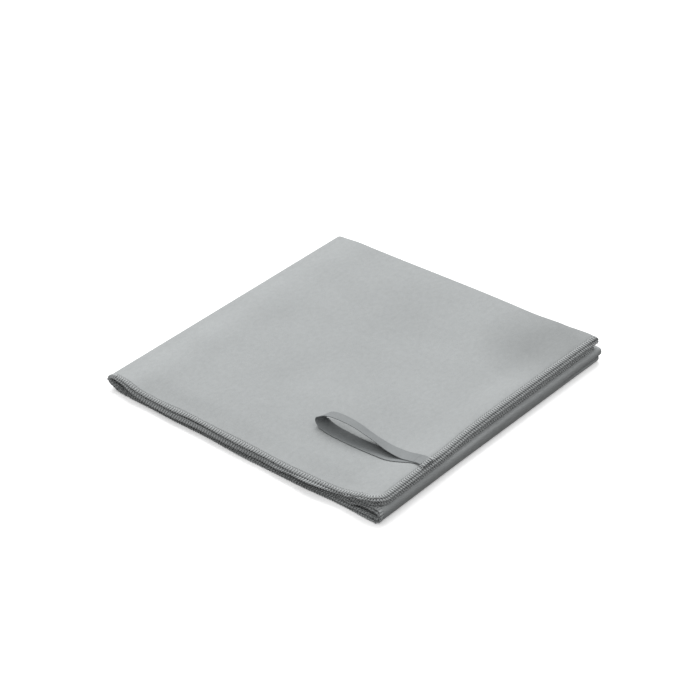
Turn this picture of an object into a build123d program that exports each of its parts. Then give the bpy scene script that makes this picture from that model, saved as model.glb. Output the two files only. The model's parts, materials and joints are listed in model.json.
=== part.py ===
from build123d import *
import math
import os

# A quick dry towel of brushed microfibre, folded three times to a square pad.
#
# Frame: millimetres, +Z up, origin at the bottom centre of the pad.  +Y runs from the sewn
# long edges to the lengthwise fold, +X from the double nose fold to the sewn short ends.
#
# The flat cloth is about 500 x 1000 mm.  It is folded once lengthwise, which makes a pair of
# plies joined at +Y, and the pair is then folded twice across its length.  Every pair panel
# is one U-shaped section swept along the pair's middle line in the XZ plane:
#   top panel     free end at +X, then the upper half of the outer nose at -X
#   lower half    outer nose, bottom panel, end fold at +X, third panel, inner nose
#   second panel  the upper half of the inner nose, then the other free end at +X
# The cloth is cut at mid height of the two noses, where the pad opens like a book.

# ---- driving dimensions ----
pad_length_y = 254.0            # over the lengthwise fold and the sewn long edges
pad_length_x = 250.0            # over the nose fold and the end fold
cloth_thickness = 0.7
ply_pitch = 1.45                # between the two plies of a pair
pair_pitch = 3.3                # between pairs at the nose side
end_fold_height = 9.6           # over the puffed fold under the short ends
second_panel_rise = 3.475       # second panel above the third at the short ends
top_panel_rise = 3.4            # top panel above the second at the short ends
top_end_inset = 4.5             # short end of the top panel, behind the end fold
second_end_inset = 3.5
inner_nose_inset = 5.5          # inner nose behind the outer one
nose_gap = 0.3                  # where the halves of the pad part
bend_straight = 0.05            # straight cloth left between one bend and the next

seam_width = 3.5                # overlocked band
needle_width = 0.5
thread_proud = 0.3              # thread above the cloth's face
thread_bite = 0.15              # how far the seam squeezes each face of the cloth
seam_clearance = 0.02

ribbon_width = 10.4
ribbon_thickness = 0.6
loop_centre_y = -71.7
loop_skew = 4.5                 # degrees, the loop leans towards the sewn long edges
loop_length = 91.0
loop_height = 11.4
loop_tip_slant = 3.0            # how far the loop's end leans back
loop_shoulder = 31.0            # from the loop's end to where its upper strand starts down
loop_shoulder_rise = 0.3
loop_closing = 26.0             # from the root to where the strands come together
loop_closing_rise = 0.2
loop_bend_radii = [4.6, 4.2, 40.0, 60.0]
loop_root_x = 116.1
root_clearance = 0.8
strand_gap = 0.3                # under the lower strand, and between the strands
sewn_end_clearance = 0.1        # from the ribbon ends to the panel's edge
tack_count = 5
tack_width = 0.5

# ---- places worked out from them ----
half_x = pad_length_x / 2
half_cloth = cloth_thickness / 2
half_ply = ply_pitch / 2
half_pair = half_ply + half_cloth
bottom_z = half_pair
third_z = bottom_z + pair_pitch
second_z = third_z + pair_pitch
top_z = second_z + pair_pitch
nose_z = (bottom_z + top_z) / 2
third_end_z = end_fold_height - half_pair
second_end_z = third_end_z + second_panel_rise
top_end_z = second_end_z + top_panel_rise
nose_x = -half_x + half_pair
inner_nose_x = nose_x + inner_nose_inset
end_fold_x = half_x - half_pair
top_end_x = half_x - top_end_inset
second_end_x = half_x - second_end_inset
sewn_edge_y = -pad_length_y / 2 + thread_proud
fold_centre_y = pad_length_y / 2 - half_pair
nose_radius = top_z - nose_z - nose_gap / 2 - bend_straight
inner_radius = second_z - nose_z - nose_gap / 2 - bend_straight
end_fold_radius = (third_end_z - bottom_z) / 2 - bend_straight


def xz(x, z):
    return Vector(x, 0, z)


top_path = FilletPolyline(
    xz(top_end_x, top_end_z),
    xz(nose_x, top_z),
    xz(nose_x, nose_z + nose_gap / 2),
    radius=nose_radius,
)
lower_path = FilletPolyline(
    xz(nose_x, nose_z - nose_gap / 2),
    xz(nose_x, bottom_z),
    xz(end_fold_x, bottom_z),
    xz(end_fold_x, third_end_z),
    xz(inner_nose_x, third_z),
    xz(inner_nose_x, nose_z - nose_gap / 2),
    radius=[nose_radius, end_fold_radius, end_fold_radius, inner_radius],
)
second_path = FilletPolyline(
    xz(inner_nose_x, nose_z + nose_gap / 2),
    xz(inner_nose_x, second_z),
    xz(second_end_x, second_end_z),
    radius=inner_radius,
)


def section_plane(path, at_end=False):
    """The plane across a path: local x is +Y, local -y is the outer side of the fold."""
    place = 1 if at_end else 0
    return Plane(origin=path @ place, x_dir=(0, 1, 0), z_dir=path % place)


def rectangle(y0, y1, w0, w1):
    """A rectangle in a section plane, from y0 to y1 along +Y and w0 to w1 across the plies."""
    return Pos((y0 + y1) / 2, (w0 + w1) / 2) * Rectangle(y1 - y0, w1 - w0)


def fold_band(outside, inside):
    """The half ring at +Y that joins the two plies of a pair."""
    ring = Pos(fold_centre_y, 0) * (Circle(outside) - Circle(inside))
    return ring & rectangle(fold_centre_y, fold_centre_y + 2 * outside, -outside, outside)


def ply_sides():
    """The side of each ply that faces away from its pair: the outer ply first."""
    return (-1, 1)


def pair_section():
    """Both plies with their lengthwise fold; the sewn strip of each is squeezed thinner."""
    seam_end = sewn_edge_y + seam_width
    squeezed = half_cloth - thread_bite
    section = fold_band(half_pair, half_ply - half_cloth)
    for side in ply_sides():
        middle = side * half_ply
        section += rectangle(seam_end, fold_centre_y, middle - half_cloth, middle + half_cloth)
        section += rectangle(sewn_edge_y, seam_end, middle - squeezed, middle + squeezed)
    return section


def looper_section(face):
    """One looper thread on both plies: it covers one face and its half of the cut edge."""
    cover_end = sewn_edge_y + seam_width - needle_width
    squeezed = half_cloth - thread_bite + seam_clearance
    proud = half_cloth + thread_proud
    section = Sketch()
    for side in ply_sides():
        middle = side * half_ply
        out = side * face
        lo, hi = sorted((middle + out * squeezed, middle + out * proud))
        section += rectangle(sewn_edge_y - seam_clearance, cover_end, lo, hi)
        lo, hi = sorted((middle + out * seam_clearance, middle + out * proud))
        section += rectangle(sewn_edge_y - thread_proud, sewn_edge_y - seam_clearance, lo, hi)
    return section


def needle_section():
    """The needle thread: a line at the inner border of the seam, on both faces of each ply."""
    y1 = sewn_edge_y + seam_width
    y0 = y1 - needle_width + seam_clearance
    low = half_cloth - thread_bite + seam_clearance
    high = half_cloth + thread_proud
    section = Sketch()
    for side in ply_sides():
        for face in (-1, 1):
            middle = side * half_ply
            lo, hi = sorted((middle + face * low, middle + face * high))
            section += rectangle(y0, y1, lo, hi)
    return section


def along(section, path):
    return sweep(section_plane(path) * section, path=path)


def above_floor(shape):
    """What the bottom ply presses flush: nothing reaches below the surface it lies on."""
    room = Pos(0, 0, pad_length_x / 2) * Box(2 * pad_length_x, 2 * pad_length_y, pad_length_x)
    return shape & room


def short_end_band(w_low, w_high, face):
    """A U-shaped band on one face of the pair, from the long-edge seam round the fold."""
    start = sewn_edge_y + seam_width
    inside, outside = sorted((half_ply + face * w_low, half_ply + face * w_high))
    band = fold_band(outside, inside)
    for side in ply_sides():
        lo, hi = sorted((side * (half_ply + face * w_low), side * (half_ply + face * w_high)))
        band += rectangle(start, fold_centre_y, lo, hi)
    return band


def short_end_looper(plane, inward, face):
    """A looper thread along a short end: over one face, and over its half of the cut edge."""
    cover = short_end_band(half_cloth + seam_clearance, half_cloth + thread_proud, face)
    cap = short_end_band(seam_clearance, half_cloth + thread_proud, face)
    length = seam_width - needle_width
    body = extrude(plane * cover, amount=inward * length)
    shift = Plane(origin=plane.origin - plane.z_dir * inward * seam_clearance,
                  x_dir=plane.x_dir, z_dir=plane.z_dir)
    return body + extrude(shift * cap, amount=-inward * thread_proud)


def short_end_needle(plane, inward):
    """The needle thread along a short end, on both faces."""
    offset = seam_width - needle_width + seam_clearance
    start = Plane(origin=plane.origin + plane.z_dir * inward * offset,
                  x_dir=plane.x_dir, z_dir=plane.z_dir)
    lines = []
    for face in (1, -1):
        band = short_end_band(half_cloth + seam_clearance, half_cloth + thread_proud, face)
        lines.append(extrude(start * band, amount=inward * (needle_width - seam_clearance)))
    return lines[0] + lines[1]


# ---- the cloth ----
cloth_top_panel = along(pair_section(), top_path)
cloth_second_panel = along(pair_section(), second_path)
cloth_lower_half = along(pair_section(), lower_path)

# ---- the three threads of the overlocked edge ----
top_plane = section_plane(top_path)
second_plane = section_plane(second_path, at_end=True)
upper_paths = (top_path, second_path)


def upper_looper(face):
    """A looper thread on the two upper panels: long edges, then both short ends."""
    runs = [along(looper_section(face), path) for path in upper_paths]
    runs.append(short_end_looper(top_plane, 1, face))
    runs.append(short_end_looper(second_plane, -1, face))
    return runs[0] + runs[1] + runs[2] + runs[3]


top_looper_upper = upper_looper(1)
under_looper_upper = upper_looper(-1)
needle_upper = (
    along(needle_section(), top_path)
    + along(needle_section(), second_path)
    + short_end_needle(top_plane, 1)
    + short_end_needle(second_plane, -1)
)
top_looper_lower = above_floor(along(looper_section(1), lower_path))
under_looper_lower = along(looper_section(-1), lower_path)
needle_lower = above_floor(along(needle_section(), lower_path))

# ---- the hanging loop ----
# Its plane: local x runs from the root towards the nose fold along the top panel's face,
# local y is the height above that face, and local z is along +Y.
tilt = math.atan2(top_end_z - top_z, top_end_x - nose_x)
root_z = top_end_z + (loop_root_x - top_end_x) * math.tan(tilt) + half_pair / math.cos(tilt)
loop_frame = Location((loop_root_x, loop_centre_y, root_z)) * Rotation(0, -math.degrees(tilt), 0)
loop_leaned = loop_frame * Rotation(0, 0, loop_skew)


def uv(u, v):
    return Vector(-u, 0, v)


low_v = strand_gap + ribbon_thickness / 2
high_v = low_v + strand_gap + ribbon_thickness
loop_path = FilletPolyline(
    uv(root_clearance, low_v),
    uv(loop_length, low_v),
    uv(loop_length - loop_tip_slant, loop_height),
    uv(loop_length - loop_shoulder, loop_height + loop_shoulder_rise),
    uv(loop_closing, high_v + loop_closing_rise),
    uv(root_clearance, high_v),
    radius=loop_bend_radii,
)
ribbon_face = Plane(origin=loop_path @ 0, x_dir=(0, 1, 0), z_dir=loop_path % 0)
ribbon = sweep(ribbon_face * Rectangle(ribbon_width, ribbon_thickness), path=loop_path)
hanging_loop_ribbon = loop_leaned * ribbon

# Both ends of the ribbon lie in the seam, one on the other, under the overlock thread.
end_length = top_end_x - loop_root_x - sewn_end_clearance
end_base = thread_proud + seam_clearance


def end_strip(level):
    centre = end_base + (level + 0.5) * ribbon_thickness + level * seam_clearance
    return Pos(end_length / 2, 0, centre) * Box(end_length, ribbon_width, ribbon_thickness)


loop_sewn_ends = loop_frame * Compound(children=[end_strip(0), end_strip(1)])

# The stitches that hold them: bars over the ribbon ends, down to the seam on each side.
tack_inner_height = end_base + 2 * ribbon_thickness + 3 * seam_clearance
tack_height = tack_inner_height + thread_proud
tack_span = ribbon_width + 2 * seam_clearance


def tack_bar(index):
    """One bar tack across both ribbon ends."""
    pitch = (end_length - tack_width) / (tack_count - 1)
    x = tack_width / 2 + index * pitch
    outer_length = tack_span + 2 * thread_proud
    outer = Pos(x, 0, (end_base + tack_height) / 2) * Box(
        tack_width, outer_length, tack_height - end_base
    )
    room = Pos(x, 0, tack_inner_height / 2) * Box(2 * tack_width, tack_span, tack_inner_height)
    return outer - room


loop_tack_stitches = loop_frame * Compound(children=[tack_bar(i) for i in range(tack_count)])

nodes = {
    "cloth_top_panel": cloth_top_panel,
    "cloth_second_panel": cloth_second_panel,
    "cloth_lower_half": cloth_lower_half,
    "overlock_needle_thread_upper": needle_upper,
    "overlock_needle_thread_lower": needle_lower,
    "overlock_face_looper_thread_upper": top_looper_upper,
    "overlock_face_looper_thread_lower": top_looper_lower,
    "overlock_back_looper_thread_upper": under_looper_upper,
    "overlock_back_looper_thread_lower": under_looper_lower,
    "hanging_loop_ribbon": hanging_loop_ribbon,
    "loop_sewn_ends": loop_sewn_ends,
    "loop_tack_stitches": loop_tack_stitches,
}

os.makedirs("parts", exist_ok=True)
for name, shape in nodes.items():
    export_step(shape, f"parts/{name}.step")
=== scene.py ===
import json
import math

import bpy
import numpy as np
from mathutils import Matrix, Vector


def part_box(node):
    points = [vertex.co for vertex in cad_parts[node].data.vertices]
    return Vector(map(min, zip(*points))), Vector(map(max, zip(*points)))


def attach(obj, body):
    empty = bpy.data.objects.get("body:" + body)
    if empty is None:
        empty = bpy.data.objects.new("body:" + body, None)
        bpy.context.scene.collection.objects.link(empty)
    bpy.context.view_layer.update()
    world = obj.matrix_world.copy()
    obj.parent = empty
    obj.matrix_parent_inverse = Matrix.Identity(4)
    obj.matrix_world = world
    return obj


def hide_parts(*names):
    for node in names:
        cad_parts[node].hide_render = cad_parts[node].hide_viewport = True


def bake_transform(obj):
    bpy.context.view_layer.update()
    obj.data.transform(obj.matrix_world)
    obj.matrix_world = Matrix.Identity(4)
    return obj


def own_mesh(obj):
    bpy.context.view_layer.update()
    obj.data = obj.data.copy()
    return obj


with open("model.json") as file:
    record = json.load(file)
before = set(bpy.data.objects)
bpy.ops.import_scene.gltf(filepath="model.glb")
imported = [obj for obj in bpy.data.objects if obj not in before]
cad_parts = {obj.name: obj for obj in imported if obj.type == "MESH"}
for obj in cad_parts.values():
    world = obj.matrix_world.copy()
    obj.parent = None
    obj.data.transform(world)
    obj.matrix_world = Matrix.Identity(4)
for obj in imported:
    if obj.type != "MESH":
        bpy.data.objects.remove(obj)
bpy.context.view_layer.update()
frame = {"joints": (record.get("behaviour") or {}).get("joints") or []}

# A brushed microfibre towel, folded once lengthwise and twice across, with an overlocked edge
# and a ribbon loop.  Shapes are worked out in millimetres, and MM turns them to metres when a
# mesh is made.  The axes are the frame's: +X from the double nose fold to the short ends, +Y
# from the sewn long edges to the lengthwise fold, +Z up through the eight plies.
#
# A place on the flat cloth is (s, t): s runs along the towel from its top short end, and t
# across it from the long edge of the outer ply of each pair.  Plies count from the table, 0 to 7.
MM = 0.001


def box_mm(node):
    """Lowest and highest corner of a CAD node's box, in millimetres."""
    return [np.array(corner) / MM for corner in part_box(node)]


lower_lo, lower_hi = box_mm("cloth_lower_half")
_, top_hi = box_mm("cloth_top_panel")
_, second_hi = box_mm("cloth_second_panel")
joint_at = {j["name"]: np.array(j["pos_m"]) / MM for j in frame["joints"]}

CLOTH = 0.62                    # thickness of the cloth
CUT_SHARE, SEAM_SHARE = 0.45, 0.8               # of it, at the cut edge and under the stitches
SEAM_EXTRA = 0.42               # what the overlock adds to a ply's thickness
STITCH_PITCH = 2.18
CORNER_RADIUS = 12.0            # of the cut cloth

SEWN_Y = lower_lo[1]
FOLD_Y = lower_hi[1]
NOSE_X = lower_lo[0]
END_X = lower_hi[0]
TOP_END_X = top_hi[0]
SECOND_END_X = second_hi[0]
NOSE_MIDDLE = joint_at["pad_opens"][2]          # height of the line where the pad opens

# ---- how the plies turn: the outer nose's tip is high, and its lower side slopes to the table ----
NOSE_TIP_HEIGHT = 8.2
NOSE_TOP_START = NOSE_X + 6.5
NOSE_BOTTOM_END = NOSE_X + 22.0
END_START = END_X - 6.0
END_TIP_HEIGHT = 5.8
TOP_HEM_X = TOP_END_X + 1.9     # where the short hems would end if they lay flat
SECOND_HEM_X = SECOND_END_X + 2.4
INNER_TIP = NOSE_X + 3.4
INNER_START = INNER_TIP + 2.6
PLY_GAP = CLOTH + 0.5           # between the two plies of a pair where they turn
FOLD_REACH = 1.3                # lengthwise fold, from its centre line to the cloth's middle
FOLD_CENTRE = FOLD_Y - FOLD_REACH - CLOTH / 2
TOP_STRIP_END = NOSE_X + 17.0   # the nose strips are apart from the panels behind these lines
BOTTOM_STRIP_END = NOSE_X + 27.0
INNER_STRIP_END = NOSE_X + 17.0


def smooth(a, b, x):
    """0 below a, 1 above b, with a soft step between."""
    t = np.clip((x - a) / (b - a), 0, 1)
    return t * t * (3 - 2 * t)


def mix(a, b, share):
    """From a to b by a share."""
    return a + (b - a) * share


def hump(centre, width, x):
    """A bell of height 1."""
    return np.exp(-(((x - centre) / width) ** 2))


# ---- heights of the plies ----
# The limits inside smooth() and the centres and widths inside hump() are places on the pad: x
# runs from -125 at the nose to 125 at the end fold, y from -127 at the sewn edges to 127 at the
# lengthwise fold.
NOSE_HEIGHT = 12.1              # top face near the nose and over most of the pad
END_HEIGHT = 16.6               # top face over the short ends, at the sewn side
NOSE_ROLL = 1.8                 # how far the top face rolls down to the nose
NOSE_ROLL_REACH = 34.0
EARLY_RISE = 0.5                # of the top face, before the short ends
FOLD_SIDE_RISE = 2.0            # of the top face, towards the right rear corner
TOP_PRESS = (1.9, 1.2)          # how far the sewn edges pull it down: evenly, and in a dip
TOP_PUFF = 4.3                  # how far the lengthwise folds lift the top face
MIDDLE_EARLY_RISE = 0.2         # the same five for the surface between the two halves
MIDDLE_END_RISE = 4.6
MIDDLE_FOLD_SIDE_RISE = 0.6
MIDDLE_PRESS = (0.9, 0.5)
MIDDLE_PUFF = 2.0
PRESS_REACH = 24.0              # how far in from the sewn edges the pull is felt
RIBBON_LIFT = 0.8               # of the top ply, over the ribbon ends
LEAST_AIR = 0.1                 # between the plies of a half, all together
STITCH_ROOM = 0.33              # under the lowest ply's seam


def waves(x, y):
    """Broad, shallow undulation of the top face."""
    first = np.sin(x / 31 + 1.1) * np.cos(y / 43 - 0.4)
    second = np.sin((x - 1.3 * y) / 52 + 0.7)
    return 0.14 * first + 0.18 * second


def sewn_side(y, reach):
    """1 at the sewn edges, 0 further in than reach."""
    return 1 - smooth(0, reach, y - SEWN_Y)


def fold_puff(x, y):
    """The lengthwise folds stand thicker than the middle of the pad."""
    return smooth(-112, 45, x) * (1 - smooth(84, 119, x)) * smooth(0, FOLD_CENTRE, y) ** 1.3


def pressed(depths, near_nose, x, y):
    """How far the sewn edges pull a surface down; near_nose is where the pull starts."""
    even, dip = depths
    depth = (even + dip * hump(-80, 26, x)) * smooth(*near_nose, x) * (1 - smooth(84, 112, x))
    return depth * sewn_side(y, PRESS_REACH)


def top_height(x, y):
    """Top face of the stack, without the lift over the ribbon ends."""
    roll_off = NOSE_ROLL * (1 - smooth(NOSE_X, NOSE_X + NOSE_ROLL_REACH, x)) ** 2
    rise = EARLY_RISE * smooth(55, 95, x)
    rise = rise + (END_HEIGHT - NOSE_HEIGHT - EARLY_RISE) * smooth(90, 118, x)
    rise = rise + FOLD_SIDE_RISE * smooth(62, 114, x) * smooth(-60, 10, y)
    height = NOSE_HEIGHT + rise - pressed(TOP_PRESS, (-114, -88), x, y)
    height = height + TOP_PUFF * fold_puff(x, y)
    return height - roll_off + waves(x, y) * smooth(-125, -90, x)


def middle_height(x, y):
    """Between the two halves of the pad."""
    rise = MIDDLE_EARLY_RISE * smooth(-20, 70, x) + MIDDLE_END_RISE * smooth(86, 116, x)
    rise = rise + MIDDLE_FOLD_SIDE_RISE * smooth(84, 114, x) * smooth(-60, 10, y)
    height = NOSE_MIDDLE + rise - pressed(MIDDLE_PRESS, (-104, -84), x, y)
    return height + MIDDLE_PUFF * smooth(-98, -60, x) * fold_puff(x, y)


def ribbon_lift(x, y):
    """The top ply stands up where the ribbon ends are sewn in."""
    return RIBBON_LIFT * smooth(106, 118, x) * hump(-67, 12.5, y)


# shares of a half's free height for its four gaps, from the lowest up, by region of the pad
LOWER_GAPS = {
    "inside": (0.25, 0.35, 0.25, 0.15),
    "sewn side": (0.28, 0.3, 0.28, 0.14),
    "short ends": (0.14, 0.64, 0.12, 0.1),
    "lengthwise fold": (0.38, 0.12, 0.38, 0.12),
    "nose": (0.1, 0.36, 0.06, 0.48),
}
UPPER_GAPS = {
    "inside": (0.15, 0.25, 0.35, 0.25),
    "sewn side": (0.06, 0.06, 0.1, 0.78),
    "short ends": (0.28, 0.22, 0.32, 0.18),
    "lengthwise fold": (0.08, 0.22, 0.12, 0.58),
    "nose": (0.5, 0.06, 0.24, 0.2),
}


def gap_shares(gaps, x, y):
    """The shares at plan places: each region takes over from those before it."""
    found = np.array(gaps["inside"])[:, None] * np.ones_like(x)
    for region, mask in (
        ("sewn side", sewn_side(y, 30)),
        ("short ends", smooth(90, 114, x)),
        ("lengthwise fold", smooth(FOLD_CENTRE - 16, FOLD_CENTRE, y)),
        ("nose", 1 - smooth(NOSE_X + 18, NOSE_X + 38, x)),
    ):
        found = mix(found, np.array(gaps[region])[:, None], mask)
    return found


def ply_middles(x, y):
    """Heights of the middles of the eight plies at plan places (x, y)."""
    x, y = np.broadcast_arrays(np.asarray(x, float), np.asarray(y, float))
    long_seam = sewn_side(y - 2.2, 2.4)
    short_seam = smooth(TOP_HEM_X - 5, TOP_HEM_X - 3, x)
    lower_ply = CLOTH + SEAM_EXTRA * long_seam
    upper_ply = CLOTH + SEAM_EXTRA * np.maximum(long_seam, short_seam)
    middle = middle_height(x, y)
    lower_free = np.maximum(middle - 4 * lower_ply, LEAST_AIR)
    upper_free = np.maximum(top_height(x, y) - middle - 4 * upper_ply, LEAST_AIR)
    lower = lower_free * gap_shares(LOWER_GAPS, x, y)
    upper = upper_free * gap_shares(UPPER_GAPS, x, y)
    heights = np.empty((8,) + x.shape)
    heights[0] = lower_ply / 2 + STITCH_ROOM * long_seam
    for k in (1, 2, 3):
        heights[k] = heights[k - 1] + lower_ply + lower[k - 1]
    heights[4] = middle + upper[0] + upper_ply / 2
    for k in (5, 6, 7):
        heights[k] = heights[k - 1] + upper_ply + upper[k - 4]
    heights[7] += ribbon_lift(x, y)
    return heights


# ---- how far the edges and folds of plies 0 to 7 stand out ----
FRONT_EDGES = (1.2, 1.0, -0.1, -0.2, -0.3, -0.4, -0.1, -0.9)    # sewn edges, near the short ends
FOLD_SHIFTS = (-1.6, -1.6, 1.2, 1.2, -4.4, -4.4, 0.4, 0.4)      # lengthwise folds, there too
EDGE_REACH = 22.0               # how far in the shift of a sewn edge fades out


def edge_out(ply, x):
    """How far each ply's sewn edge lies outside SEWN_Y; those of plies 2 to 5 are set back."""
    from_nose = smooth(-120, -92, x)
    if ply == 7:
        rear = mix(-0.9, 1.7, from_nose)
    elif ply == 6:
        rear = mix(-0.6, 4.0, from_nose)
    elif ply in (0, 1):
        rear = mix(0.3, 1.6 - 0.3 * ply, from_nose) + 1.1 * hump(30, 38, x)
    else:
        rear = mix(-7.5, -4.5, smooth(-112, -84, x))
    front = smooth(-10, 60, x) if ply in (2, 3, 4, 5) else smooth(62, 104, x)
    return mix(rear, FRONT_EDGES[ply], front)


def fold_out(ply, x):
    """How far each ply's lengthwise fold lies outside FOLD_Y."""
    uneven = -0.7 + 0.25 * np.sin(ply * 2.1)
    return mix(uneven, FOLD_SHIFTS[ply], smooth(60, 118, x))


def edge_waver(x, z):
    """Small unevenness of the sewn edges."""
    return 0.3 * np.sin(x / 9.5 + 1.7 * z) + 0.25 * np.sin(x / 23 - 0.9 * z + 2)


# ---- the path of a pair of plies: runs and turns, along s ----
def run(x, outer, inner):
    """A flat stretch from x[0] to x[1] on plies outer and inner of a pair."""
    return {"length": abs(x[1] - x[0]), "x": x, "outer": (outer, outer), "inner": (inner, inner)}


def turn(x, tip, tip_gap, tip_height, full, outer, inner, height):
    """A turn from x[0] over tip to x[1], from one ply to another.

    The inner ply's tip is tip_gap from the outer one's.  A smaller full makes a squarer turn,
    and height is about the turn's size, for its length.
    """
    quarters = [math.hypot(abs(a - tip) - tip_gap / 2, height / 2) / math.sqrt(2) for a in x]
    return {"length": math.pi / 2 * sum(quarters), "x": x, "outer": outer, "inner": inner,
            "tips": (tip, tip + math.copysign(tip_gap, x[0] - tip)), "tip_height": tip_height,
            "full": full}


PATH = [
    run((TOP_HEM_X, NOSE_TOP_START), 7, 6),
    turn((NOSE_TOP_START, NOSE_BOTTOM_END), NOSE_X + CLOTH / 2, PLY_GAP, NOSE_TIP_HEIGHT,
         full=0.85, outer=(7, 0), inner=(6, 1), height=11.0),
    run((NOSE_BOTTOM_END, END_START), 0, 1),
    turn((END_START, END_START), END_X - CLOTH / 2, PLY_GAP, END_TIP_HEIGHT,
         full=0.4, outer=(0, 3), inner=(1, 2), height=8.0),
    run((END_START, INNER_START), 3, 2),
    turn((INNER_START, INNER_START), INNER_TIP + PLY_GAP, -PLY_GAP, NOSE_MIDDLE,
         full=1.0, outer=(3, 4), inner=(2, 5), height=2.4),
    run((INNER_START, SECOND_HEM_X), 4, 5),
]
STARTS = np.cumsum([0] + [part["length"] for part in PATH])
LENGTH = STARTS[-1]
HALF_RUN = FOLD_CENTRE - SEWN_Y
FOLD_LENGTH = math.pi * FOLD_REACH
WIDTH = 2 * HALF_RUN + FOLD_LENGTH


def fold_side(y):
    """1 at the lengthwise fold, 0 further in than 60 mm."""
    return smooth(FOLD_CENTRE - 60, FOLD_CENTRE, y)


def end_shape(y, angle):
    """How far the end fold stands back: fullest at the sewn side, caved in near the other."""
    crease = 2.6 * fold_side(y) * hump(1.15, 0.3, angle)
    back = 0.5 * smooth(-60, 120, y) - 1.2 * (1 - smooth(SEWN_Y, -30, y))
    return (crease + back) * np.sin(angle) ** 0.5


def inner_nose_shift(y):
    """The inner nose stands further back near the sewn edges."""
    return 2.0 * sewn_side(y, 45)


# ---- the hems, which turn down a little at the cut edge ----
SHORT_HEM, SHORT_BEND = 3.5, 1.8                # length that turns down, and of its bend
SHORT_HEM_TURNS = {7: 10, 6: 20, 5: 62, 4: 40}  # degrees, by ply
SHORT_HEM_BACKS = {7: 0.5, 6: -1.1, 5: 0.9, 4: 0.5}
TOP_LONG_HEM = (3.4, 2.4, math.radians(16))     # length, length of its bend, angle
SECOND_LONG_HEM = (5.4, 2.6, math.radians(44))


def turned_hem(left, length, bend, angle):
    """How far back and how far down a place lies on a hem; left is its distance to the edge."""
    gone = np.maximum(length - left, 0)
    bent = np.minimum(gone, bend)
    radius = bend / np.maximum(angle, 0.001)
    turned = bent / radius
    straight = gone - bent
    forward = radius * np.sin(turned) + straight * np.cos(angle)
    down = radius * (1 - np.cos(turned)) + straight * np.sin(angle)
    return gone - forward, down


def short_hem(ply, left, x, y):
    """A short hem: the plies end a little apart, further back towards the lengthwise fold."""
    shift = SHORT_HEM_BACKS[ply] + 2.2 * smooth(-75, -20, y) - 0.9 * (1 - smooth(SEWN_Y, -75, y))
    back, down = turned_hem(left, SHORT_HEM, SHORT_BEND, math.radians(SHORT_HEM_TURNS[ply]))
    return back + shift * smooth(84, 118, x), down


def long_hem(ply, x, y):
    """The second ply's long hem hangs over the hems below it, and the top one bends a little."""
    if ply == 6:
        length, bend, angle = SECOND_LONG_HEM
        hanging = (1 - smooth(15, 70, x)) * smooth(-124, -88, x)
        return turned_hem(y - SEWN_Y, length, bend, angle * hanging)
    if ply == 7:
        return turned_hem(y - SEWN_Y, *TOP_LONG_HEM)
    return 0 * x, 0 * x


# ---- from a flat place to the folded cloth ----
def run_place(part, ply, along, y, s):
    """x, z, and the outward shifts of the sewn edge and the lengthwise fold, on a run."""
    x = mix(part["x"][0], part["x"][1], along / part["length"])
    if ply in (2, 3, 4, 5):
        x = x + inner_nose_shift(y) * (1 - smooth(INNER_START, INNER_START + 45, x))
    back, down = 0 * x, 0 * x
    if ply in SHORT_HEM_TURNS:
        back, down = short_hem(ply, np.minimum(s, LENGTH - s), x, y)
    long_back, long_down = long_hem(ply, x, y)
    z = ply_middles(x, y)[ply] - down - long_down
    return x - back, z, edge_out(ply, x) - long_back, fold_out(ply, x)


def turn_place(part, which, along, y):
    """The same on a turn, where one ply becomes another."""
    first, last = part[which]
    shift = inner_nose_shift(y) if first in (2, 3) else 0 * y
    x0, x1 = part["x"][0] + shift, part["x"][1] + shift
    tip = part["tips"][0 if which == "outer" else 1] + shift
    angle = math.pi * along / part["length"]
    late = angle > math.pi / 2
    begin = np.where(late, x1, x0)
    x = mix(begin, tip, np.sin(angle) ** part["full"])
    if first in (0, 1):
        x = x - end_shape(y, angle)
    z0, z1 = ply_middles(x0, y)[first], ply_middles(x1, y)[last]
    tip_z = part["tip_height"]
    z = np.where(late, mix(tip_z, z1, -np.cos(angle)), mix(tip_z, z0, np.cos(angle)))
    share = (1 - np.cos(angle)) / 2
    out = mix(edge_out(first, begin), edge_out(last, begin), share)
    fold = mix(fold_out(first, begin), fold_out(last, begin), share)
    return x, z, out, fold


def ply_place(part, which, along, y, s):
    """Where one ply of a pair lies, on any part of the path."""
    if "tips" in part:
        return turn_place(part, which, along, y)
    return run_place(part, part[which][0], along, y, s)


def place(s, t):
    """Middle of the folded cloth at flat places (s, t), in millimetres."""
    s, t = (np.asarray(v, float).ravel() for v in (s, t))
    across = np.where(t <= WIDTH / 2, t, WIDTH - t)
    y = SEWN_Y + np.minimum(across, HALF_RUN)
    turned = np.clip((t - HALF_RUN) / FOLD_LENGTH, 0, 1) * math.pi
    found = np.empty((len(s), 3))
    for k, part in enumerate(PATH):
        low = -np.inf if k == 0 else STARTS[k]
        high = np.inf if k == len(PATH) - 1 else STARTS[k + 1]
        chosen = (s >= low) & (s < high)
        if not chosen.any():
            continue
        at, ys, swing = s[chosen], y[chosen], np.cos(turned[chosen])
        outer = ply_place(part, "outer", at - STARTS[k], ys, at)
        inner = ply_place(part, "inner", at - STARTS[k], ys, at)
        x, z, out, fold = (mix(i, o, (1 + swing) / 2) for o, i in zip(outer, inner))
        near_edge = np.exp(-(ys - SEWN_Y) / EDGE_REACH)
        found[chosen, 0] = x
        found[chosen, 1] = ys - (out + edge_waver(x, z)) * near_edge + fold * fold_side(ys)
        found[chosen, 2] = z
    found[:, 1] += FOLD_REACH * np.sin(turned)
    return found


STEP = 0.05                     # along the cloth, to find its slope


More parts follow.
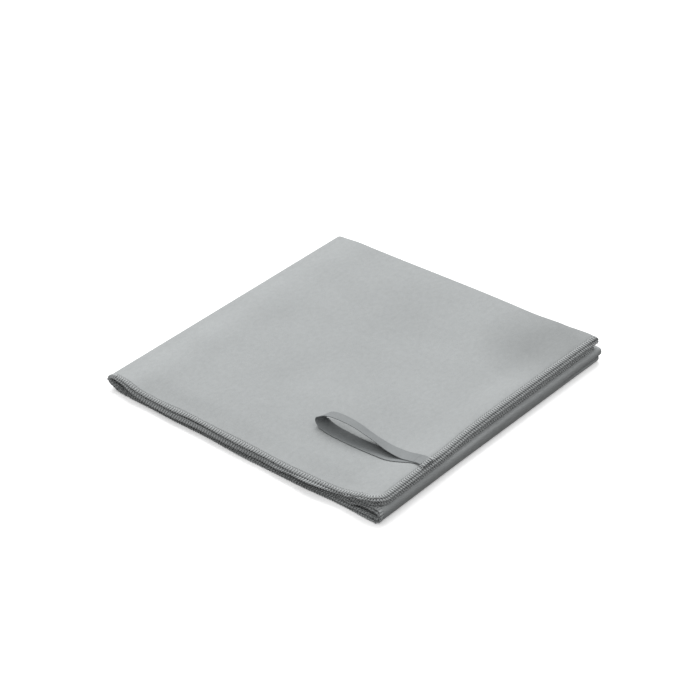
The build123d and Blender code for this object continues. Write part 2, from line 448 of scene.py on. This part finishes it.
def place_with_normal(s, t):
    """Places and the normals that point out of each pair."""
    along = place(s + STEP, t) - place(s - STEP, t)
    across = place(s, t + STEP) - place(s, t - STEP)
    normal = np.cross(across, along)
    return place(s, t), normal / np.linalg.norm(normal, axis=1)[:, None]


# ---- meshes ----
def make_object(name, points, faces, uvs=None, normals=None):
    """A smooth mesh object from points in millimetres."""
    mesh = bpy.data.meshes.new(name)
    mesh.from_pydata((np.asarray(points) * MM).tolist(), [], [tuple(f) for f in faces])
    mesh.update()
    mesh.polygons.foreach_set("use_smooth", np.ones(len(mesh.polygons), bool))
    if uvs is not None:
        layer = mesh.uv_layers.new(name="UVMap")
        corner = np.empty(len(mesh.loops), int)
        mesh.loops.foreach_get("vertex_index", corner)
        layer.data.foreach_set("uv", (np.asarray(uvs)[corner] * MM).astype(np.float32).ravel())
    if normals is not None:
        mesh.normals_split_custom_set_from_vertices(np.asarray(normals).tolist())
    made = bpy.data.objects.new(name, mesh)
    bpy.context.scene.collection.objects.link(made)
    return made


def rounded_corners(s, t):
    """Moves flat places in the corner squares so that the cut has round corners."""
    r = CORNER_RADIUS
    a = np.maximum(r - s, 0) - np.maximum(s - (LENGTH - r), 0)
    b = np.maximum(r - t, 0) - np.maximum(t - (WIDTH - r), 0)
    a, b = a / r, b / r
    return s + r * a * (1 - np.sqrt(1 - b * b / 2)), t + r * b * (1 - np.sqrt(1 - a * a / 2))


# distances of the mesh lines from a cut edge
HEM_STEPS = np.array([0.0, 0.35, 1.2, 2.2, 3.2, 3.7, 4.6, 6.2, 8.5, 11.0])


def across_lines(spacing):
    """Values of t for the lines of the cloth mesh: close at the hems and at the fold."""
    inside = np.linspace(HEM_STEPS[-1], HALF_RUN - 8, round((HALF_RUN - 19) / spacing))[1:]
    near_fold = HALF_RUN - np.array([5.5, 3.5, 1.8, 0.6])
    half = np.concatenate([HEM_STEPS, inside, near_fold])
    fold = HALF_RUN + FOLD_LENGTH * np.linspace(0, 1, 9)
    return np.concatenate([half, fold, WIDTH - half[::-1]])


def run_lines(start, stop, spacing):
    """Evenly spaced values of s."""
    count = max(3, round((stop - start) / spacing) + 1)
    return np.linspace(start, stop, count)


def turn_lines(index, count, crowd):
    """Values of s round a turn, closer together at its middle."""
    v = np.linspace(-1, 1, count)
    share = 0.5 + 0.5 * np.sign(v) * np.abs(v) ** crowd
    return STARTS[index] + share * PATH[index]["length"]


def cloth_piece(name, s_lines, t_lines, sewn_ends=()):
    """A closed stretch of the cloth with its thickness, from lines of s and t."""
    grid_s, grid_t = np.meshgrid(s_lines, t_lines, indexing="ij")
    s, t = rounded_corners(grid_s.ravel(), grid_t.ravel())
    middle, normal = place_with_normal(s, t)
    rows, columns = grid_s.shape
    hem = np.minimum(grid_t, WIDTH - grid_t).ravel()
    for end in sewn_ends:
        hem = np.minimum(hem, np.abs(grid_s.ravel() - end))
    half = CLOTH / 2 * mix(CUT_SHARE, 1, smooth(-0.1, 0.6, hem))
    half = half * mix(SEAM_SHARE, 1, smooth(3.0, 4.4, hem))
    face = middle + normal * half[:, None]
    back = middle - normal * half[:, None]
    index = np.arange(rows * columns).reshape(rows, columns)
    a, b = index[:-1, :-1], index[1:, :-1]
    c, d = index[1:, 1:], index[:-1, 1:]
    quads = np.stack([a, d, c, b], -1).reshape(-1, 4)
    shift = rows * columns
    faces = [quads, quads[:, ::-1] + shift]
    rim = np.concatenate([index[:-1, 0], index[-1, :-1], index[::-1, -1][:-1], index[0, ::-1][:-1]])
    after = np.roll(rim, -1)
    faces.append(np.stack([rim, after, after + shift, rim + shift], -1))
    uvs = np.stack([s, t], -1)
    return make_object(
        name, np.concatenate([face, back]), np.concatenate(faces).tolist(),
        np.concatenate([uvs, uvs]), np.concatenate([normal, -normal]),
    )


def s_at(index, x):
    """Length along the path where a run is at x."""
    part = PATH[index]
    x0, x1 = part["x"]
    return STARTS[index] + part["length"] * (x - x0) / (x1 - x0)


T_LINES = across_lines(2.5)
TOP_CUT = s_at(0, TOP_STRIP_END)
BOTTOM_CUT = s_at(2, BOTTOM_STRIP_END)
THIRD_CUT = s_at(4, INNER_STRIP_END)
SECOND_CUT = s_at(6, INNER_STRIP_END)


def joined(*runs):
    """Lines of s put together, each shared end once."""
    found = [runs[0]]
    for more in runs[1:]:
        found.append(more[1:])
    return np.concatenate(found)


top_hem = STARTS[0] + HEM_STEPS
second_hem = STARTS[7] - HEM_STEPS[::-1]
top_panel = cloth_piece(
    "towel_top_panel", joined(top_hem, run_lines(top_hem[-1], TOP_CUT, 2.5)), T_LINES,
    sewn_ends=[0],
)
outer_nose = cloth_piece(
    "towel_outer_nose",
    joined(run_lines(TOP_CUT, STARTS[1], 1.6), turn_lines(1, 45, 1.0),
           run_lines(STARTS[2], BOTTOM_CUT, 1.6)),
    T_LINES,
)
lower_half = cloth_piece(
    "towel_lower_half",
    joined(run_lines(BOTTOM_CUT, STARTS[3], 2.9), turn_lines(3, 33, 1.0),
           run_lines(STARTS[4], THIRD_CUT, 2.9)),
    T_LINES,
)
inner_nose = cloth_piece(
    "towel_inner_nose",
    joined(run_lines(THIRD_CUT, STARTS[5], 1.4), turn_lines(5, 41, 1.7),
           run_lines(STARTS[6], SECOND_CUT, 1.4)),
    T_LINES,
)
second_panel = cloth_piece(
    "towel_second_panel", joined(run_lines(SECOND_CUT, second_hem[0], 2.5), second_hem),
    T_LINES, sewn_ends=[LENGTH],
)

# ---- the overlocked edge: stitches of three threads round the cut edge ----
SIDES = [LENGTH - 2 * CORNER_RADIUS, WIDTH - 2 * CORNER_RADIUS]
ARC = math.pi / 2 * CORNER_RADIUS
EDGE_PIECES = np.array([SIDES[0], ARC, SIDES[1], ARC, SIDES[0], ARC, SIDES[1], ARC])
EDGE_STARTS = np.concatenate([[0], np.cumsum(EDGE_PIECES)])
STITCHES = round(EDGE_STARTS[-1] / STITCH_PITCH)


def flat_places(q, inward):
    """Flat places at length q round the cut edge and a distance inside it."""
    q = np.mod(q, EDGE_STARTS[-1])
    piece = np.clip(np.searchsorted(EDGE_STARTS, q, side="right") - 1, 0, 7)
    along = q - EDGE_STARTS[piece]
    corner = piece // 2
    r = CORNER_RADIUS
    bend = np.where(piece % 2 == 1, along / r, 0)
    forward = np.where(piece % 2 == 1, 0, along)
    heading = corner * math.pi / 2
    start_s = np.choose(corner, [r, LENGTH, LENGTH - r, 0])
    start_t = np.choose(corner, [0, r, WIDTH, WIDTH - r])
    side = EDGE_PIECES[np.minimum(2 * corner, 7)]
    done = np.where(piece % 2 == 1, side, forward)
    base_s = start_s + np.cos(heading) * done - np.sin(heading) * r
    base_t = start_t + np.sin(heading) * done + np.cos(heading) * r
    turned = heading + bend - math.pi / 2
    reach = r - inward
    return base_s + np.cos(turned) * reach, base_t + np.sin(turned) * reach


def tubes(name, points, normals, radius, sides=5):
    """Round threads through rows of points, with a surface normal at each."""
    count, steps, _ = points.shape
    ahead = np.gradient(points, axis=1)
    ahead /= np.linalg.norm(ahead, axis=2, keepdims=True)
    beside = np.cross(ahead, normals)
    beside /= np.linalg.norm(beside, axis=2, keepdims=True)
    over = np.cross(beside, ahead)
    angles = np.arange(sides) * 2 * math.pi / sides
    ring = (np.cos(angles)[:, None] * beside[:, :, None] + np.sin(angles)[:, None] * over[:, :, None])
    vertices = points[:, :, None] + radius * ring
    index = np.arange(count * steps * sides).reshape(count, steps, sides)
    a, b = index[:, :-1], index[:, 1:]
    quads = np.stack([a, b, np.roll(b, -1, 2), np.roll(a, -1, 2)], -1).reshape(-1, 4)
    caps = [index[:, 0, ::-1].tolist(), index[:, -1].tolist()]
    return make_object(name, vertices.reshape(-1, 3), quads.tolist() + caps[0] + caps[1])


ROOT_X, ROOT_Y, _ = joint_at["loop_lifts"]
RIBBON_WIDTH = 10.4
RIBBON = 0.56
SEAM_FACE = CLOTH / 2 * SEAM_SHARE              # from the cloth's middle to its face under the stitches


def over_ribbon(places, q):
    """1 where a stitch on the top short end passes over the ribbon ends."""
    on_top_ply = np.mod(q, EDGE_STARTS[-1]) > (EDGE_STARTS[6] + EDGE_STARTS[7]) / 2
    beside = np.abs(places[:, 1] - ROOT_Y) / (RIBBON_WIDTH / 2)
    return np.where(on_top_ply, 1 - smooth(1.0, 1.2, beside), 0)


# steps of one stitch: share of the pitch along the edge, distance inside it, height share
LOOPER = np.array([
    (0.00, 2.65, 0.5), (0.22, 2.4, 0.85), (0.25, 1.8, 1.0), (0.25, 0.5, 1.0), (0.38, -0.25, 0.0),
    (0.51, 0.5, 1.0), (0.51, 1.8, 1.0), (0.54, 2.4, 0.85), (0.76, 2.65, 0.5), (1.00, 2.65, 0.5),
])
NEEDLE = np.array([(0.08, 3.2, 0.0), (0.18, 3.2, 0.9), (0.52, 3.2, 0.9), (0.62, 3.2, 0.0)])
# each thread's steps, its side of the cloth, its phase in the stitch, and its radius
THREADS = {
    "face_looper_thread": (LOOPER, 1, 0.0, 0.34),
    "back_looper_thread": (LOOPER, -1, 0.5, 0.34),
    "needle_thread": (NEEDLE, 1, 0.0, 0.24),
}


JITTER, SEED = 0.05, 7          # unevenness of the stitches


def stitch_rows(steps, side, phase, radius, numbers):
    """Points, normals and a share over the ribbon, for the numbered stitches of one thread."""
    pitch = EDGE_STARTS[-1] / STITCHES
    q = (numbers[:, None] + phase + steps[None, :, 0]) * pitch
    jitter = np.random.default_rng(SEED + side).normal(0, JITTER, q.shape)
    inward = steps[None, :, 1] + jitter
    s, t = flat_places(q.ravel(), inward.ravel())
    middle, normal = place_with_normal(s, t)
    height = np.broadcast_to(steps[None, :, 2], q.shape).ravel() * (SEAM_FACE + radius * 0.75) * side
    covered = over_ribbon(middle, q.ravel())
    if side > 0:
        height = height + covered * (2 * RIBBON + 0.1)
    points = (middle + normal * height[:, None]).reshape(q.shape + (3,))
    return points, normal.reshape(q.shape + (3,)), covered.reshape(q.shape).max(1)


def stitch_part(numbers):
    """Which stretch of the cloth each stitch is on: 0 upper, 1 outer nose, 2 lower, 3 inner nose."""
    q = (numbers + 0.5) * EDGE_STARTS[-1] / STITCHES
    s, _ = flat_places(q, 1.5 + 0 * q)
    cuts = [TOP_CUT, BOTTOM_CUT, THIRD_CUT, SECOND_CUT]
    return np.array([0, 1, 2, 3, 0])[np.searchsorted(cuts, s)]


PART_NAMES = ("upper", "outer_nose", "lower", "inner_nose")
threads = {}
all_stitches = np.arange(STITCHES)
part_of = stitch_part(all_stitches)
ribbon_rows = []
for thread, (steps, side, phase, radius) in THREADS.items():
    for number, part in enumerate(PART_NAMES):
        mine = all_stitches[part_of == number]
        points, normals, covered = stitch_rows(steps, side, phase, radius, mine)
        tacks = (covered > 0.5) & (side > 0)
        if tacks.any():
            ribbon_rows.append((thread, points[tacks], normals[tacks], radius))
        name = f"{thread}_{part}"
        threads[thread, part] = tubes(name, points[~tacks], normals[~tacks], radius)
tack_objects = [
    tubes(f"loop_tack_{thread}", points, normals, radius)
    for thread, points, normals, radius in ribbon_rows
]

# ---- the ribbon loop ----
# Chosen points of the ribbon's middle line: x, y, height, and its twist in degrees.  The upper
# strand gives heights above the table, the lower one above the towel's top face.
UPPER_STRAND = [
    (119.2, -71.7, 18.2, 0), (115.5, -71.7, 18.0, 0), (109.5, -71.8, 16.7, 0),
    (101.5, -72.0, 15.2, 3), (90, -72.4, 15.4, 13), (80, -72.6, 17.2, 21),
    (70.7, -72.8, 19.2, 23), (62, -72.9, 21.1, 20), (53, -73.1, 22.0, 16), (44, -73.4, 22.0, 13),
    (37, -74.0, 20.9, 11), (32.2, -75.0, 18.2, 10), (31.8, -76.2, 15.6, 10),
]
LOWER_STRAND = [
    (36.5, -77.6, 0.8, 10), (45, -78.8, 0.45, 8), (55, -79.0, 0.4, 6), (65, -78.9, 0.4, 4),
    (75, -78.6, 0.4, 3), (85, -78.0, 0.4, 2), (94, -77.0, 0.4, 0), (102, -75.2, 0.4, 0),
    (109, -73.0, 0.4, 0), (115.5, -71.8, 0.4, 0), (119.2, -71.7, 0.3, 0),
]


def loop_points():
    """The loop's points with heights above the table."""
    found = [np.array(p, float) for p in UPPER_STRAND]
    for x, y, clear, twist in LOWER_STRAND:
        lift = RIBBON_WIDTH / 2 * math.sin(math.radians(twist))
        face = ply_middles(x, np.array([y - RIBBON_WIDTH / 2, y]))[7].max() + CLOTH / 2
        found.append(np.array([x, y, face + clear + lift, twist]))
    return np.array(found)


def curve_through(points, per_span):
    """A smooth curve through points (Catmull-Rom), with per_span steps in each span."""
    before = 2 * points[0] - points[1]
    after = 2 * points[-1] - points[-2]
    p = np.vstack([before, points, after])
    u = np.linspace(0, 1, per_span, endpoint=False)[:, None]
    found = []
    for k in range(len(points) - 1):
        a, b, c, d = p[k:k + 4]
        found.append(0.5 * (2 * b + (c - a) * u + (2 * a - 5 * b + 4 * c - d) * u ** 2
                            + (3 * b - a - 3 * c + d) * u ** 3))
    return np.vstack(found + [points[-1:]])


# half of the ribbon's section: share of its half width, and of its half thickness there
RIBBON_PLACES = np.array([0, 0.3, 0.6, 0.88, 0.94, 0.985, 1])
RIBBON_SWELL = np.array([0.9, 0.9, 0.92, 1.0, 1.12, 0.75, 0.3])


def strip_of_ribbon(name, line, twist):
    """A ribbon with rounded selvedges along a line of points."""
    ahead = np.gradient(line, axis=0)
    ahead /= np.linalg.norm(ahead, axis=1)[:, None]
    beside = np.array([0, 1, 0]) - ahead[:, 1:2] * ahead
    beside /= np.linalg.norm(beside, axis=1)[:, None]
    over = np.cross(ahead, beside)
    angle = np.radians(twist)[:, None]
    beside, over = (beside * np.cos(angle) + over * np.sin(angle),
                    over * np.cos(angle) - beside * np.sin(angle))
    across = np.concatenate([-RIBBON_PLACES[:0:-1], RIBBON_PLACES]) * RIBBON_WIDTH / 2
    half = np.concatenate([RIBBON_SWELL[:0:-1], RIBBON_SWELL]) * RIBBON / 2
    middle = line[:, None] + beside[:, None] * across[None, :, None]
    face = middle + over[:, None] * half[None, :, None]
    back = middle - over[:, None] * half[None, :, None]
    rows, columns = middle.shape[:2]
    index = np.arange(rows * columns).reshape(rows, columns)
    shift = rows * columns
    a, b, c, d = index[:-1, :-1], index[1:, :-1], index[1:, 1:], index[:-1, 1:]
    quads = np.stack([a, b, c, d], -1).reshape(-1, 4)
    rim = np.concatenate([index[:-1, 0], index[-1, :-1], index[::-1, -1][:-1], index[0, ::-1][:-1]])
    after = np.roll(rim, -1)
    faces = [quads, quads[:, ::-1] + shift, np.stack([rim, rim + shift, after + shift, after], -1)]
    length = np.concatenate([[0], np.cumsum(np.linalg.norm(np.diff(line, axis=0), axis=1))])
    uvs = np.stack(np.broadcast_arrays(length[:, None], across[None, :]), -1).reshape(-1, 2)
    points = np.concatenate([face.reshape(-1, 3), back.reshape(-1, 3)])
    return make_object(name, points, np.concatenate(faces).tolist(), np.concatenate([uvs, uvs]))


LOOP_START_X = 113.0            # the loop is rigid up to here, where its two roots begin
loop_line = curve_through(loop_points(), 12)
free = np.flatnonzero(loop_line[:, 0] < LOOP_START_X)
first_free, last_free = free[0], free[-1]


def strand(name, start, stop):
    """The stretch of the loop's line between two of its places."""
    return strip_of_ribbon(name, loop_line[start:stop, :3], loop_line[start:stop, 3])


ribbon_loop = strand("ribbon_loop", first_free, last_free + 1)
ribbon_roots = [strand("ribbon_root_1", 0, first_free + 1),
                strand("ribbon_root_2", last_free, len(loop_line))]


def sewn_end(number):
    """One ribbon end in the seam, from the loop's root to the cut edge."""
    s = np.linspace(4.0, 0.2, 12)
    middle, normal = place_with_normal(s, np.full_like(s, ROOT_Y - SEWN_Y))
    line = middle + normal * (SEAM_FACE + 0.06 + RIBBON * (number + 0.5))
    return strip_of_ribbon(f"ribbon_end_{number + 1}", line, 0 * s)


ribbon_ends = [sewn_end(0), sewn_end(1)]

# ---- materials ----
def new_material(name, wearers):
    """A material on some objects; returns its node tree and shader."""
    material = bpy.data.materials.new(name)
    material.use_nodes = True
    for piece in wearers:
        piece.data.materials.append(material)
    return material.node_tree, material.node_tree.nodes["Principled BSDF"]


def add_node(tree, kind, **settings):
    """A node with some of its inputs or properties set."""
    node = tree.nodes.new(kind)
    for key, value in settings.items():
        if key in node.inputs:
            node.inputs[key].default_value = value
        else:
            setattr(node, key, value)
    return node


def maths(tree, operation, first, second=None):
    """A math node on sockets or numbers; returns its output."""
    node = add_node(tree, "ShaderNodeMath", operation=operation)
    for socket, value in zip(node.inputs, (first, second)):
        if isinstance(value, (int, float)):
            socket.default_value = value
        elif value is not None:
            tree.links.new(value, socket)
    return node.outputs[0]


def noise(tree, coordinates, size, detail=2.0, stretch=(1, 1, 1)):
    """Noise with grains of about size millimetres, from 0 to 1."""
    mapping = add_node(tree, "ShaderNodeMapping")
    mapping.inputs["Scale"].default_value = stretch
    tree.links.new(coordinates, mapping.inputs["Vector"])
    node = add_node(tree, "ShaderNodeTexNoise", Scale=1 / (size * MM), Detail=detail)
    tree.links.new(mapping.outputs[0], node.inputs["Vector"])
    return node.outputs["Fac"]


def shade(tree, shader, base, factors):
    """Base colour times a factor worked out from (socket, low, high) triples."""
    value = None
    for socket, low, high in factors:
        ranged = add_node(tree, "ShaderNodeMapRange")
        ranged.inputs["From Min"].default_value = 0.25
        ranged.inputs["From Max"].default_value = 0.75
        ranged.inputs["To Min"].default_value = low
        ranged.inputs["To Max"].default_value = high
        tree.links.new(socket, ranged.inputs["Value"])
        value = ranged.outputs[0] if value is None else maths(tree, "MULTIPLY", value, ranged.outputs[0])
    tint = add_node(tree, "ShaderNodeMix", data_type="RGBA", blend_type="MULTIPLY")
    tint.inputs["Factor"].default_value = 1
    tint.inputs[6].default_value = (*base, 1)
    tree.links.new(value, tint.inputs[7])
    tree.links.new(tint.outputs[2], shader.inputs["Base Color"])


def bump(tree, shader, height, distance, strength):
    """Relief of distance millimetres."""
    node = add_node(tree, "ShaderNodeBump", Strength=strength, Distance=distance * MM)
    tree.links.new(height, node.inputs["Height"])
    tree.links.new(node.outputs[0], shader.inputs["Normal"])


def soften(shader, sheen, sheen_roughness, specular):
    """A cloth's soft sheen and low gloss."""
    shader.inputs["Sheen Weight"].default_value = sheen
    shader.inputs["Sheen Roughness"].default_value = sheen_roughness
    shader.inputs["Specular IOR Level"].default_value = specular


def uv_and_parts(tree):
    """The flat coordinates of a piece, together and apart."""
    uv = add_node(tree, "ShaderNodeTexCoord").outputs["UV"]
    split = add_node(tree, "ShaderNodeSeparateXYZ")
    tree.links.new(uv, split.inputs[0])
    return uv, split.outputs[0], split.outputs[1]


def roughness(tree, shader, socket, low, high):
    """Roughness from low to high over a socket's values."""
    ranged = add_node(tree, "ShaderNodeMapRange")
    ranged.inputs["To Min"].default_value = low
    ranged.inputs["To Max"].default_value = high
    tree.links.new(socket, ranged.inputs["Value"])
    tree.links.new(ranged.outputs[0], shader.inputs["Roughness"])


SHADED_PATCH = (24, 226, 74)         # s, t and reach of a patch of painted shade on the top face, near the end fold and the lengthwise fold
NEEDLE_LINE, NEEDLE_SHADE_REACH = 3.4, 0.6       # the needle line, from the edge, and the reach of the painted shade of its needle holes
STITCH_SHADE_REACH = 3.3             # the cloth is painted darker up to here, as shade between the threads of the overlock
NOSE_LIGHT_SPAN = (195, 245)           # s over which the top face is painted lighter towards the nose, as light on its roll-off; the cloth stays lighter beyond


def add_microfibre(wearers):
    """Brushed cloth with a short, soft nap."""
    tree, shader = new_material("brushed_microfibre", wearers)
    uv, u, v = uv_and_parts(tree)
    blotches = noise(tree, uv, 55, 3)
    nap = noise(tree, uv, 2.8, 4, (1, 0.6, 1))
    grain = noise(tree, uv, 0.9, 3)
    from_edge = maths(tree, "MINIMUM",
                      maths(tree, "MINIMUM", u, maths(tree, "SUBTRACT", LENGTH * MM, u)),
                      maths(tree, "MINIMUM", v, maths(tree, "SUBTRACT", WIDTH * MM, v)))
    # painted shade along the needle line, for the shade in the needle holes
    off_line = maths(tree, "ABSOLUTE", maths(tree, "SUBTRACT", from_edge, NEEDLE_LINE * MM))
    line = maths(tree, "MINIMUM", maths(tree, "DIVIDE", off_line, NEEDLE_SHADE_REACH * MM), 1.0)
    # painted shade under the overlock, between its threads
    painted_stitch_shade = maths(tree, "GREATER_THAN", from_edge, STITCH_SHADE_REACH * MM)
    # painted light on the top face towards the nose
    painted_nose_light = maths(tree, "DIVIDE", maths(tree, "SUBTRACT", u, NOSE_LIGHT_SPAN[0] * MM),
                      (NOSE_LIGHT_SPAN[1] - NOSE_LIGHT_SPAN[0]) * MM)
    # painted shade in a patch of the top face near the end fold and the lengthwise fold
    away = add_node(tree, "ShaderNodeVectorMath", operation="DISTANCE")
    away.inputs[1].default_value = (SHADED_PATCH[0] * MM, SHADED_PATCH[1] * MM, 0)
    tree.links.new(uv, away.inputs[0])
    patch_shade = maths(tree, "DIVIDE", away.outputs["Value"], SHADED_PATCH[2] * MM)
    patch_shade = maths(tree, "MINIMUM", patch_shade, 1.0)
    shade(tree, shader, (0.338, 0.352, 0.354),
          [(blotches, 0.95, 1.05), (nap, 0.95, 1.05), (grain, 0.94, 1.06), (line, 0.5, 1.0),
           (painted_stitch_shade, 0.8, 1.0), (patch_shade, 0.8, 1.0), (painted_nose_light, 1.0, 1.08)])
    soften(shader, 0.25, 0.45, 0.15)
    roughness(tree, shader, grain, 0.82, 0.98)
    bump(tree, shader, maths(tree, "ADD", grain, maths(tree, "MULTIPLY", nap, 1.2)), 0.35, 0.6)


def add_overlock_thread(wearers):
    """Soft textured thread."""
    tree, shader = new_material("overlock_thread", wearers)
    place_in = add_node(tree, "ShaderNodeTexCoord").outputs["Object"]
    fibres = noise(tree, place_in, 0.35, 2)
    wear = noise(tree, place_in, 9, 2)
    shade(tree, shader, (0.47, 0.485, 0.488), [(fibres, 0.92, 1.06), (wear, 0.96, 1.04)])
    soften(shader, 0.2, 0.4, 0.25)
    roughness(tree, shader, fibres, 0.6, 0.8)
    bump(tree, shader, fibres, 0.08, 0.5)


RIB_PITCH, WARP_PITCH = 0.55, 0.8


def stripes(tree, socket, pitch):
    """A sine along a socket, repeating every pitch millimetres."""
    return maths(tree, "SINE", maths(tree, "MULTIPLY", socket, 2 * math.pi / (pitch * MM)))


def add_ribbon(wearers):
    """Fine ribbed woven ribbon."""
    tree, shader = new_material("ribbon", wearers)
    uv, along, across = uv_and_parts(tree)
    rib = stripes(tree, along, RIB_PITCH)
    warp = stripes(tree, across, WARP_PITCH)
    both = maths(tree, "ADD", rib, maths(tree, "MULTIPLY", warp, 0.5))
    weave = maths(tree, "MULTIPLY_ADD", both, 0.16)
    yarns = noise(tree, uv, 0.5, 2, (0.25, 1, 1))
    patches = noise(tree, uv, 7, 2)
    shade(tree, shader, (0.2, 0.212, 0.216), [(yarns, 0.9, 1.1), (patches, 0.95, 1.05)])
    soften(shader, 0.15, 0.35, 0.3)
    roughness(tree, shader, yarns, 0.55, 0.75)
    bump(tree, shader, weave, 0.08, 0.5)


cloth_objects = [top_panel, second_panel, lower_half, outer_nose, inner_nose]
add_microfibre(cloth_objects)
add_overlock_thread([*threads.values(), *tack_objects])
add_ribbon([ribbon_loop, *ribbon_roots, *ribbon_ends])

# ---- the camera ----
AZIMUTH, ELEVATION = math.radians(40.06), math.radians(33.54)
CAMERA_DISTANCE = 1.780
AIM_RIGHT, AIM_UP = -0.00523, 0.01692
LENS, SENSOR_WIDTH = 127.3, 36


def camera_axes():
    """The camera's right, up and back directions."""
    back = Vector((math.sin(AZIMUTH) * math.cos(ELEVATION),
                   -math.cos(AZIMUTH) * math.cos(ELEVATION), math.sin(ELEVATION)))
    right = Vector((math.cos(AZIMUTH), math.sin(AZIMUTH), 0))
    return right, back.cross(right), back


def add_camera():
    right, up, back = camera_axes()
    camera = bpy.data.objects.new("camera", bpy.data.cameras.new("camera"))
    camera.data.lens = LENS
    camera.data.sensor_width = SENSOR_WIDTH
    camera.location = right * AIM_RIGHT + up * AIM_UP + back * CAMERA_DISTANCE
    camera.rotation_euler = Matrix((right, up, back)).transposed().to_euler()
    bpy.context.scene.collection.objects.link(camera)
    bpy.context.scene.camera = camera


add_camera()

# ---- stage ----
FLOOR_SIZE = 20
FLOOR_WHITE, FLOOR_GLOW = 0.9, 0.32
corners = [(-1, -1), (1, -1), (1, 1), (-1, 1)]
floor_mesh = bpy.data.meshes.new("floor")
floor_mesh.from_pydata([(FLOOR_SIZE * x, FLOOR_SIZE * y, 0) for x, y in corners], [], [(0, 1, 2, 3)])
floor = bpy.data.objects.new("floor", floor_mesh)
bpy.context.scene.collection.objects.link(floor)
floor.visible_diffuse = False
floor_material = bpy.data.materials.new("floor")
floor_material.use_nodes = True
floor_shader = floor_material.node_tree.nodes["Principled BSDF"]
floor_shader.inputs["Base Color"].default_value = (FLOOR_WHITE, FLOOR_WHITE, FLOOR_WHITE, 1)
floor_shader.inputs["Roughness"].default_value = 0.9
floor_shader.inputs["Specular IOR Level"].default_value = 0.0
floor_shader.inputs["Emission Color"].default_value = (1, 1, 1, 1)
floor_shader.inputs["Emission Strength"].default_value = FLOOR_GLOW
floor.data.materials.append(floor_material)


def add_sun(name, azimuth, elevation, strength, spread):
    """A soft light from azimuth (0 is -Y, 90 is +X) and elevation, in degrees."""
    lamp = bpy.data.lights.new(name, "SUN")
    lamp.energy = strength
    lamp.angle = math.radians(spread)
    made = bpy.data.objects.new(name, lamp)
    a, e = math.radians(azimuth), math.radians(elevation)
    towards = Vector((math.sin(a) * math.cos(e), -math.cos(a) * math.cos(e), math.sin(e)))
    made.rotation_euler = towards.to_track_quat("Z", "Y").to_euler()
    bpy.context.scene.collection.objects.link(made)


add_sun("key_light", 220, 47, 2.37, 36)
DOME_LOW, DOME_HIGH = 0.07, 0.95


def add_world():
    """A soft dome: bright overhead, dim at the horizon and below."""
    world = bpy.data.worlds.new("studio")
    world.use_nodes = True
    tree = world.node_tree
    direction = add_node(tree, "ShaderNodeTexCoord").outputs["Generated"]
    split = add_node(tree, "ShaderNodeSeparateXYZ")
    tree.links.new(direction, split.inputs[0])
    ramp = add_node(tree, "ShaderNodeValToRGB")
    tree.links.new(split.outputs[2], ramp.inputs[0])
    low, high = ramp.color_ramp.elements
    low.position, low.color = 0.0, (DOME_LOW, DOME_LOW, DOME_LOW, 1)
    high.position, high.color = 0.75, (DOME_HIGH, DOME_HIGH, DOME_HIGH, 1)
    background = tree.nodes["Background"]
    tree.links.new(ramp.outputs[0], background.inputs["Color"])
    background.inputs["Strength"].default_value = 1.0
    bpy.context.scene.world = world


add_world()
bpy.context.scene.view_settings.view_transform = "Standard"


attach(top_panel, "upper_half")
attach(second_panel, "upper_half")
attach(lower_half, "lower_half")
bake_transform(outer_nose)
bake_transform(inner_nose)
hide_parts("cloth_top_panel")
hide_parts("cloth_second_panel")
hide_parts("cloth_lower_half")
for (thread, part), piece in threads.items():
    if part in ("upper", "lower"):
        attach(piece, f"{part}_half")
        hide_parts(f"overlock_{thread}_{part}")
    else:
        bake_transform(piece)
for piece in tack_objects:
    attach(piece, "upper_half")
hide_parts("loop_tack_stitches")
for piece in ribbon_ends:
    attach(piece, "upper_half")
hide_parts("loop_sewn_ends")
for piece in ribbon_roots:
    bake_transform(piece)
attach(ribbon_loop, "hanging_loop")
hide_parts("hanging_loop_ribbon")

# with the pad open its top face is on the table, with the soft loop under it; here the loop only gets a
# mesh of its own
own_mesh(ribbon_loop)
